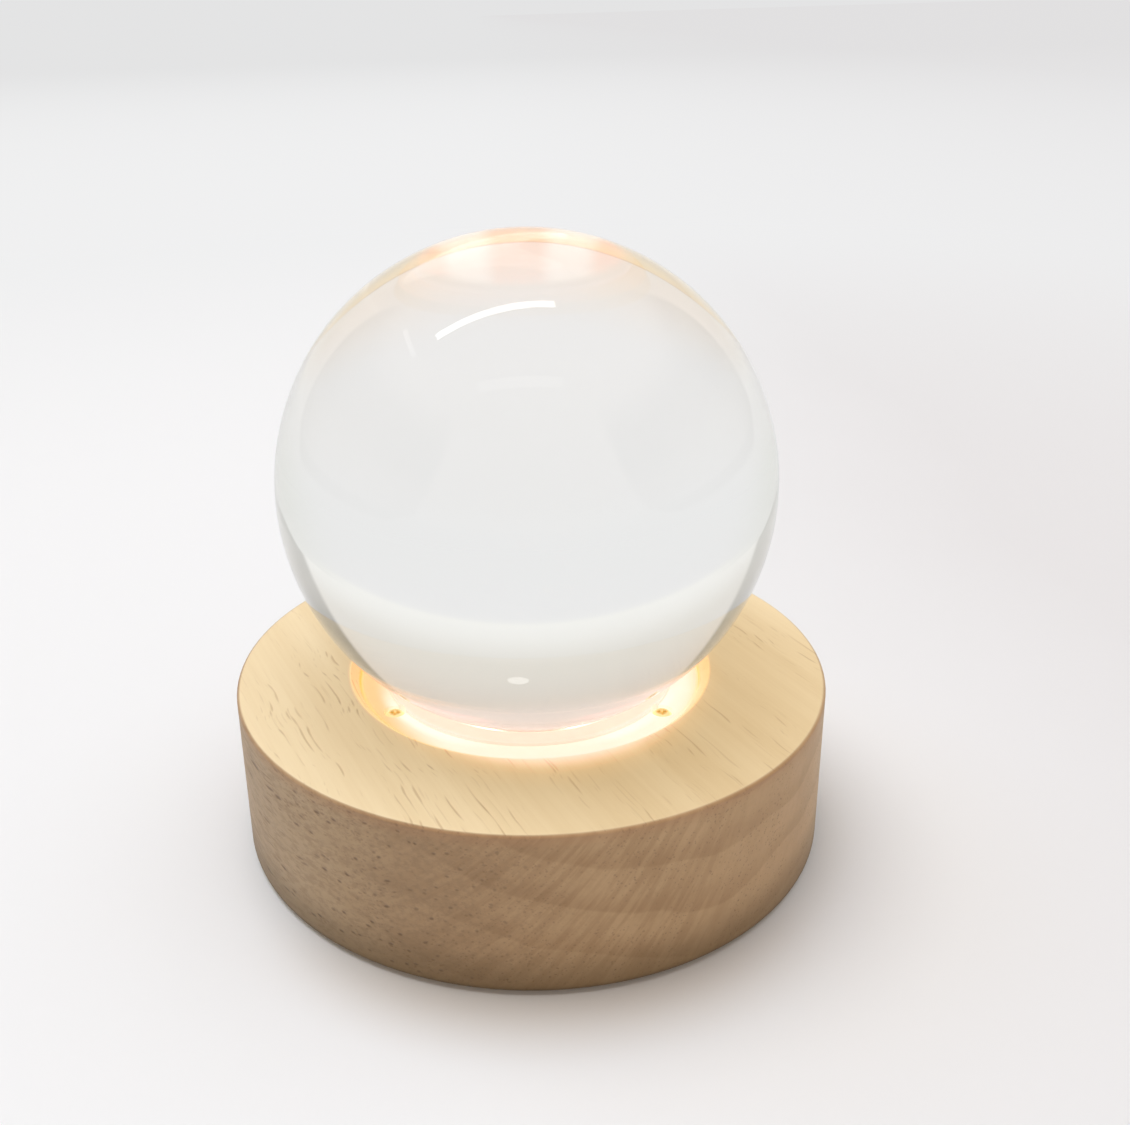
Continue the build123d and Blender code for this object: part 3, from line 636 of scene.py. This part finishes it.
def wood_finish():
    """Growth rings round the pith, pores along the grain, and darker where the cut crosses it.
    The side, its left part, its top rim and its foot are also darker by painted shade, and
    the wood round the ring glows with painted light.

    The growth rings are the fraction of the distance to the pith over their step. A pore is
    a cell of a grid stretched along the grain, and shows where its point is near. All of it
    is worked out in millimetres.
    """
    wood = Finish("pale_wood")
    x, y, z = wood.parts_of(wood.place())
    grain = wood.place(turn=-grain_angle)
    along, across, _ = wood.parts_of(grain)
    from_axis = (x * x + y * y).root()

    side = from_axis.between(wood_radius - 0.42, wood_radius - 0.12)
    crossing = abs(along) / from_axis
    end_share = side * crossing.between(0.05, 0.95)
    below_top = 1 - z.between(ring_high - 5.0, ring_high - 4.0)
    torn_and_shaded_side = side * (1 - (x + across * 0.3).between(-26.0, 4.0))

    wander = wood.noise(wood.stretched(grain, (0.012, 0.05, 0.05)), 1.0, 2.0)
    to_pith = ((across - pith[0]) ** 2 + (z - pith[1]) ** 2).root() + wander * 7.0
    ring = (to_pith / ring_step).maths("FRACT")
    late_wood = ring.between(0.35, 0.92) * (1 - ring.between(0.93, 1.0))

    fine = wood.noise(wood.stretched(grain, (0.05, 1.9, 1.9)), 1.0, 4.0, 0.6)
    broad = wood.noise(wood.stretched(grain, (0.018, 0.24, 0.24)), 1.0, 3.0)
    drifting = across + wander * 6.0
    heart_and_shadow = drifting.between(-18.0, -4.0) * (1 - drifting.between(32.0, 42.0) * 0.8)
    fan = (across - pith[0]) / (pith[1] - z)
    rays = wood.noise(wood.vector(fan * 70.0 - z * 0.45, along * 0.06, z * 0.16), 1.0, 3.0, 0.6)
    rays = rays.between(0.38, 0.62)

    wave = wood.noise(wood.stretched(grain, (0.11, 0.10, 0.10)), 1.0, 1.0) * 2.4
    wavy = wood.add("ShaderNodeVectorMath", {0: grain, 1: wood.vector(0.0, wave, wave)}, operation="ADD")

    def pores(size, width, start, end):
        """Thin dark lines along the grain, in patches."""
        length, breadth = size
        distance = wood.cells(wood.stretched(wavy, (1 / length, 1 / breadth, 1 / breadth)))
        patch = wood.noise(wood.stretched(grain, (0.02, 0.16, 0.16)), 1.0, 2.0)
        return (1 - distance.between(width * 0.3, width)) * patch.between(start, end)

    long_pores = pores(long_pore, 0.27, 0.36, 0.54)
    short_pores = pores(short_pore, 0.30, 0.40, 0.58)
    pore = (long_pores * (0.62 - side * 0.2) + short_pores * (0.24 + side * 0.2)).clamped()
    dashes = pores(torn_pore, 0.27, 0.30, 0.46) * torn_and_shaded_side
    mottle = wood.noise(wood.stretched(grain, (0.40, 1.5, 1.7)), 1.0, 5.0, 0.7)
    mottle = mottle.between(0.42, 0.62) * (0.15 + torn_and_shaded_side * 0.85) * side

    tone = broad.between(0.32, 0.68) * 0.55 + fine.between(0.3, 0.75) * 0.3 + late_wood * 0.15
    face = wood.blend(tone, face_light, face_dark)
    # Partly painted shade: the darker band also stands for part of the ball's shadow on the top.
    face = wood.blend(heart_and_shadow, face, wood.tinted(face, heart_and_shadow_tint))
    hatch = rays * (1 - (across - pith[0]).between(-14.0, 4.0) * 0.8)
    end_tone = late_wood * 0.36 + hatch * 0.42 + broad.between(0.3, 0.7) * 0.22
    # Partly painted shade: the side's colours are darker than the top's.
    end = wood.blend(end_tone, end_light, end_dark)
    colour = wood.blend(end_share, face, end)
    colour = wood.blend(side * (1 - end_share) * 0.72, colour, shaded_flank_colour)
    # Painted shade: the left part of the side is darker.
    colour = wood.blend(torn_and_shaded_side, colour, wood.tinted(colour, left_shade_tint))
    colour = wood.blend(mottle * 0.42, colour, rough_colour)
    colour = wood.blend(pore * 0.8, colour, wood.blend(side, streak_colour, end_pore_colour))
    colour = wood.blend(dashes * 0.80, colour, end_pore_colour)
    pocket = (1 - from_axis.between(wood_radius - 0.9, wood_radius - 0.6)) * below_top
    sawn = wood.blend(fine.between(0.35, 0.65), sawn_light, sawn_dark)
    colour = wood.blend(pocket, colour, wood.tinted(colour, sawn))
    # Painted shade along the rounded top rim of the side.
    painted_rim_shade = from_axis.near(wood_radius - 0.1, 0.35) * z.near(wood_high - 0.4, 1.5)
    colour = wood.blend(painted_rim_shade * 0.45, colour, rim_shade_colour)
    # Painted shade: the side darkens towards its foot, with a dark painted shadow line at the bottom where
    # it meets the table.
    foot_shade = side * (1 - z.between(wood_low, wood_low + 7.0))
    colour = wood.blend(foot_shade * 0.54, colour, foot_shade_colour)
    foot_shadow_line = side * (1 - z.between(wood_low, wood_low + 0.9))
    colour = wood.blend(foot_shadow_line * 0.65, colour, foot_shadow_colour)
    wood.set("Base Color", colour)
    wood.set("Roughness", 0.44 + fine * 0.16 + pore * 0.2)
    wood.bump(1 - pore * 0.9 - fine * 0.15 - dashes * 0.9 - mottle * 0.3, 0.06 * mm)

    # Painted light: the wood round the ring, and the wall of its opening, glow with the ring's light.
    spill = glow_distance(x, y)
    at_ring = z.between(ring_high - 4.0, ring_high - 2.5)
    spilled = (1 - spill.between(glow_reach - 1.0, glow_reach + 5.0)) * at_ring
    strong = (1 - spill.between(glow_reach - 2.2, glow_reach + 2.0)) * at_ring
    warm = wood.blend(strong, spill_colour, strong_colour)
    opening = (1 - from_axis.between(ring_radius + 1.25, ring_radius + 1.5)) * at_ring
    wood.glow(warm, spilled * 0.13 + strong * 0.42 + opening * (1 - strong) * 0.35)
    return wood


dress(wood_finish(), "wooden_base")
print("wood: growth rings", ring_step, "mm apart, pores up to", long_pore[0], "mm long")

# %% [markdown]
# ## The lit ring
#
# The ring is a white moulding that the light-emitting diodes fill with light, so it shines
# by itself, most beside each diode. Its raised inner part, next to the ball, is a little
# dimmer than the outer one. The glow is worked out from the distance to the axis and the
# angle round it, and it also lights the wood beside it and the ball above it. On the wood,
# more of that light is painted on as a glow of the wood itself. The square of
# sin(2 * angle) has four peaks round the ring, and the size of cos(3 * angle) has six. Both
# are worked out as polynomials in x and y over a power of the distance.

# %% Finish the ring
wall_glow = (1.80, 0.62, 0.36)  # of the wall inside the ring, below the ball
wall_spot = (2.40, 2.10, 2.00)  # of the six bright spots on that wall
seat_glow = (0.86, 0.56, 0.42)
inner_glow = (0.90, 0.58, 0.46)
outer_glow = (1.00, 0.66, 0.53)
hot_glow = (1.70, 0.76, 0.66)  # of the four arcs beside the diodes
edge_glow = (0.55, 0.32, 0.12)  # where the light ends, to the left and right
land_white = (0.42, 0.36, 0.29)
flange_white = (0.44, 0.39, 0.32)
unlit_colour = (0.64, 0.45, 0.27)
hot_radius = 18.8  # millimetres, of the arcs
seat_edges = (14.15, 15.85)  # millimetres, of the slope that the ball rests on
land_edge = 18.2  # millimetres, where the raised part of the ring ends


def ring_finish():
    """White, with a warm glow that is strongest beside each diode, and whitest on the inner wall."""
    ring = Finish("lit_ring", Roughness=0.35)
    x, y, _ = ring.parts_of(ring.place())
    distance = (x * x + y * y).root()
    four_fold = (x * y * 2 / (distance * distance)) ** 2
    six_fold = abs(x * (x * x - y * y * 3) / (distance * distance * distance))
    arc = four_fold.between(0.10, 0.9) * distance.near(hot_radius, 1.3)
    outer = distance.between(land_edge - 0.1, land_edge + 0.1)
    on_wall = 1 - distance.between(seat_edges[0] - 0.1, seat_edges[1] - 0.3)
    on_seat = 1 - distance.between(seat_edges[1] - 0.1, seat_edges[1])
    fading = glow_distance(x, y).between(glow_reach - 2.2, glow_reach + 2.0)
    white = ring.blend(outer, land_white, flange_white)
    ring.set("Base Color", ring.blend(fading, white, unlit_colour))
    glow = ring.blend(outer, inner_glow, outer_glow)
    glow = ring.blend(fading, glow, edge_glow)
    glow = ring.blend(arc, glow, hot_glow)
    wall = ring.blend(six_fold.between(0.55, 0.97), wall_glow, wall_spot)
    glow = ring.blend(on_seat, glow, seat_glow)
    glow = ring.blend(on_wall, glow, wall)
    edge = distance.near(land_edge + 0.05, 0.14)
    cloud = ring.noise(ring.place(), 0.5, 2.0)
    ring.glow(glow, (0.93 + cloud * 0.14) * (1 - edge * 0.22))
    return ring


dress(ring_finish(), "lamp_ring")

# %% Finish what is under the ring
window = clear_finish("clear_window", (0.97, 0.96, 0.94), (0.95, 0.95, 0.95), Roughness=0.05, IOR=1.49)
dress(window, "window_disc")

# %% [markdown]
# ## Boards and diodes
#
# A circuit board is a sheet of glass cloth with copper traces under a coloured mask. The
# traces show through as slightly raised lines, and the sawn edge shows the cloth. A diode is
# a white housing with a round well, filled with the yellow stuff that makes its light white.

# %% Finish the light board and its diodes
well_radius = 1.25  # millimetres, of the filling in a diode's well
well_blur = 0.06
housing_tones = (0.86, 0.84, 0.78), (0.93, 0.91, 0.86)
filling_tones = (0.95, 0.74, 0.30), (0.98, 0.86, 0.50)
housing_glow = (0.55, 0.40, 0.24)
filling_glow = (5.0, 3.8, 2.4)


def board_finish(name, mask, copper, edge, trace_step, board):
    """A coloured mask over copper: fine parallel traces, in patches, stand a little proud."""
    finish = Finish(name)
    place = finish.place()
    x, y, z = finish.parts_of(place)
    low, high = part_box(board)
    patch = finish.noise(place, 0.16, 1.0).between(0.47, 0.53)
    across = abs((x / trace_step).maths("FRACT") - 0.5).between(0.16, 0.24)
    back = abs((y / trace_step).maths("FRACT") - 0.5).between(0.16, 0.24)
    trace = across * patch + back * (1 - patch)
    cloud = finish.noise(place, 0.8, 3.0)
    colour = finish.blend(trace * 0.7, mask, copper)
    colour = finish.blend(cloud * 0.15, colour, edge)
    sawn = z.between(low[2] / mm + 0.03, low[2] / mm + 0.07)
    sawn = sawn * (1 - z.between(high[2] / mm - 0.07, high[2] / mm - 0.03))
    glass_cloth = finish.noise(finish.stretched(place, (3.0, 3.0, 14.0)), 1.0, 2.0)
    finish.set("Base Color", finish.blend(sawn * (0.6 + glass_cloth * 0.4), colour, edge))
    finish.set("Roughness", 0.32 + sawn * 0.4 + cloud * 0.08)
    finish.bump(trace, 0.03 * mm)
    return finish


def diode_finish(name):
    """A white housing round a well of yellow filling, which glows."""
    diode = Finish(name)
    place = diode.place()
    x, y, _ = diode.parts_of(place)
    centre = middle(name) / mm
    from_middle = ((x - centre.x) ** 2 + (y - centre.y) ** 2).root()
    filling = 1 - from_middle.between(well_radius - well_blur, well_radius)
    cloud = diode.noise(place, 1.6, 3.0)
    white = diode.blend(cloud, *housing_tones)
    yellow = diode.blend(cloud, *filling_tones)
    diode.set("Base Color", diode.blend(filling, white, yellow))
    diode.set("Roughness", 0.35 + cloud * 0.2)
    diode.glow(diode.blend(filling, housing_glow, filling_glow), 0.9 + cloud * 0.2)
    return diode


white_mask = (0.82, 0.81, 0.77), (0.88, 0.86, 0.80), (0.70, 0.66, 0.50)
green_mask = (0.012, 0.11, 0.04), (0.04, 0.21, 0.08), (0.42, 0.40, 0.22)
dress(board_finish("light_board_white", *white_mask, 2.2, "light_board"), "light_board")
dress(board_finish("board_green", *green_mask, 1.3, "power_board"), "power_board")
for led_name in ("led_1", "led_2", "led_3", "led_4"):
    dress(diode_finish(led_name), led_name)

# %% [markdown]
# ## Small parts
#
# The back, the underside and the inside hold moulded, plated and rubber parts. Most get a
# finish from one function, told apart by its tones, its gloss and the size of its grain.
# The table below gives them, with the pieces that wear each. The screws of the ring and the
# two leads change over their length, and have functions of their own.

# %% Finish the small parts
small_finishes = {
    # name: dark tone, light tone, roughness, metallic, grain per millimetre, depth, pieces
    "black_chip": ((0.03, 0.03, 0.032), (0.07, 0.07, 0.075), 0.4, 0.0, 3.0, 0.01, (
        *[f"led_resistor_{n}" for n in range(1, 5)], "inlet_resistor_left", "inlet_resistor_right")),
    "tan_chip": ((0.40, 0.29, 0.17), (0.55, 0.42, 0.27), 0.4, 0.0, 3.0, 0.01, ("power_capacitor",)),
    "plated_steel": ((0.55, 0.55, 0.56), (0.75, 0.75, 0.76), 0.28, 1.0, 8.0, 0.003, ("inlet_shell",)),
    "gold_plate": ((0.72, 0.50, 0.18), (0.90, 0.68, 0.30), 0.25, 1.0, 8.0, 0.002, (
        "inlet_contacts", "contact_clips")),
    "black_moulding": ((0.02, 0.02, 0.021), (0.045, 0.045, 0.05), 0.45, 0.0, 3.0, 0.01, (
        "inlet_tongue", "switch_housing", "switch_base")),
    "white_moulding": ((0.78, 0.77, 0.73), (0.88, 0.87, 0.83), 0.4, 0.0, 3.0, 0.01, ("switch_slider",)),
    "button_white": ((0.76, 0.74, 0.70), (0.86, 0.84, 0.80), 0.32, 0.0, 6.0, 0.004, ("push_button",)),
    "spring_wire": ((0.45, 0.45, 0.46), (0.65, 0.65, 0.66), 0.3, 1.0, 12.0, 0.002, ("latch_wire",)),
    "zinc": ((0.50, 0.51, 0.53), (0.70, 0.71, 0.73), 0.35, 1.0, 4.0, 0.004, (
        "board_screw_left", "board_screw_right", *[f"cover_screw_{n}" for n in range(1, 5)])),
    "cover_plastic": ((0.018, 0.018, 0.019), (0.04, 0.04, 0.042), 0.55, 0.0, 4.5, 0.03, ("bottom_cover",)),
    "rubber": ((0.045, 0.045, 0.047), (0.085, 0.085, 0.088), 0.75, 0.0, 5.0, 0.02, (
        *[f"rubber_foot_{n}" for n in range(1, 5)],)),
    "solder": ((0.55, 0.56, 0.58), (0.78, 0.79, 0.8), 0.25, 1.0, 4.0, 0.01, ("lead_solder", "switch_pins")),
}
gloss_spread = 0.12
brass_tones = (0.62, 0.44, 0.16), (0.82, 0.62, 0.27)
brass_glows = (0.22, 0.13, 0.03), (0.62, 0.46, 0.26)  # in the cross of the head, and round it
tinned = (0.72, 0.73, 0.75)
sleeve_top = 9.1  # millimetres up, where the solder begins


def simple_finish(name, dark, light, roughness, metallic, grain, depth):
    """A colour that wavers between two tones, with a grain that changes the gloss and the surface."""
    finish = Finish(name, Metallic=metallic)
    place = finish.place()
    cloud = finish.noise(place, 0.35, 3.0)
    speckle = finish.noise(place, grain, 4.0, 0.6)
    finish.set("Base Color", finish.blend(cloud * 0.6 + speckle * 0.4, dark, light))
    finish.set("Roughness", roughness - gloss_spread / 2 + speckle * gloss_spread)
    finish.bump(speckle, depth * mm)
    return finish


def lit_brass(name):
    """Brass, with the light of the ring on the outer part of its head."""
    brass = simple_finish(name + "_brass", *brass_tones, 0.35, 0.6, 6.0, 0.004)
    x, y, z = brass.parts_of(brass.place())
    centre = middle(name) / mm
    from_middle = ((x - centre.x) ** 2 + (y - centre.y) ** 2).root()
    lit = from_middle.between(0.45, 0.8) * z.between(ring_high - 1.5, ring_high - 1.0)
    brass.glow(brass.blend(lit, *brass_glows), 1.0)
    return brass


def sleeve_finish(name, dark, light):
    """A soft plastic sleeve, with the bare tinned wire showing at its upper end."""
    sleeve = Finish(name)
    place = sleeve.place()
    _, _, z = sleeve.parts_of(place)
    cloud = sleeve.noise(place, 1.4, 3.0)
    bare = z.between(sleeve_top - 0.05, sleeve_top + 0.05)
    sleeve.set("Base Color", sleeve.blend(bare, sleeve.blend(cloud, dark, light), tinned))
    sleeve.set("Metallic", bare)
    sleeve.set("Roughness", 0.30 + cloud * 0.15)
    sleeve.bump(cloud, 0.01 * mm)
    return sleeve


finishes = {}
for finish_name, (*looks, pieces) in small_finishes.items():
    finishes[finish_name] = simple_finish(finish_name, *looks)
    dress(finishes[finish_name], *pieces)
for screw_name in ("ring_screw_left", "ring_screw_right", "ring_screw_rear"):
    dress(lit_brass(screw_name), screw_name)
dress(sleeve_finish("red_sleeve", (0.36, 0.01, 0.01), (0.50, 0.03, 0.02)), "red_lead")
dress(sleeve_finish("black_sleeve", (0.015, 0.015, 0.015), (0.035, 0.035, 0.035)), "black_lead")
print("small finishes:", len(finishes))

# %% [markdown]
# ## The return spring
#
# Behind the switch's slider sits a small coil of wire that pushes the button out again. It
# gets shorter when the button goes in, so it can't just move along: it is made here as one
# tube round a coiled line, which stays with the base.

# %% Make the spring
coil_radius, coil_wire, coil_turns = 1.15, 0.15, 3.0  # millimetres, the wire's by its radius
coil_steps, coil_sides = 217, 14
spring_low, spring_high = (np.array(corner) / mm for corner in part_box("return_spring"))


def coiled_wire():
    """A round wire along a coil about a line in Y.

    The middle line is x = R cos(t), z = -R sin(t), while y rises evenly with t. Each ring of
    points lies in the plane of the line's radius and of the cross product of its direction
    with that radius, at wire radius * (cos(a), sin(a)). Two fans close the ends.
    """
    t = np.linspace(0, 2 * pi * coil_turns, coil_steps)
    rise = (spring_high[1] - spring_low[1] - 2 * coil_wire) / t[-1]
    centre = (spring_low + spring_high) / 2
    radial = np.column_stack((np.cos(t), np.zeros(coil_steps), -np.sin(t)))
    line = radial * coil_radius + np.array((centre[0], 0, centre[2]))
    line[:, 1] = spring_low[1] + coil_wire + rise * t
    ahead = np.column_stack((-np.sin(t) * coil_radius, np.full(coil_steps, rise), -np.cos(t) * coil_radius))
    ahead /= np.linalg.norm(ahead, axis=1, keepdims=True)
    beside = np.cross(ahead, radial)
    angle = np.linspace(0, 2 * pi, coil_sides, endpoint=False)[None, :, None]
    ring = np.cos(angle) * radial[:, None] + np.sin(angle) * beside[:, None]
    points = (line[:, None] + coil_wire * ring).reshape(-1, 3)
    vertices = np.vstack((points, line[:1], line[-1:])) * mm
    return new_piece("coil_spring", vertices, closed_faces(coil_steps, coil_sides))


spring = coiled_wire()
spring.data.materials.append(finishes["spring_wire"].material)
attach(spring, "base")
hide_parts("return_spring")
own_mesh(spring)
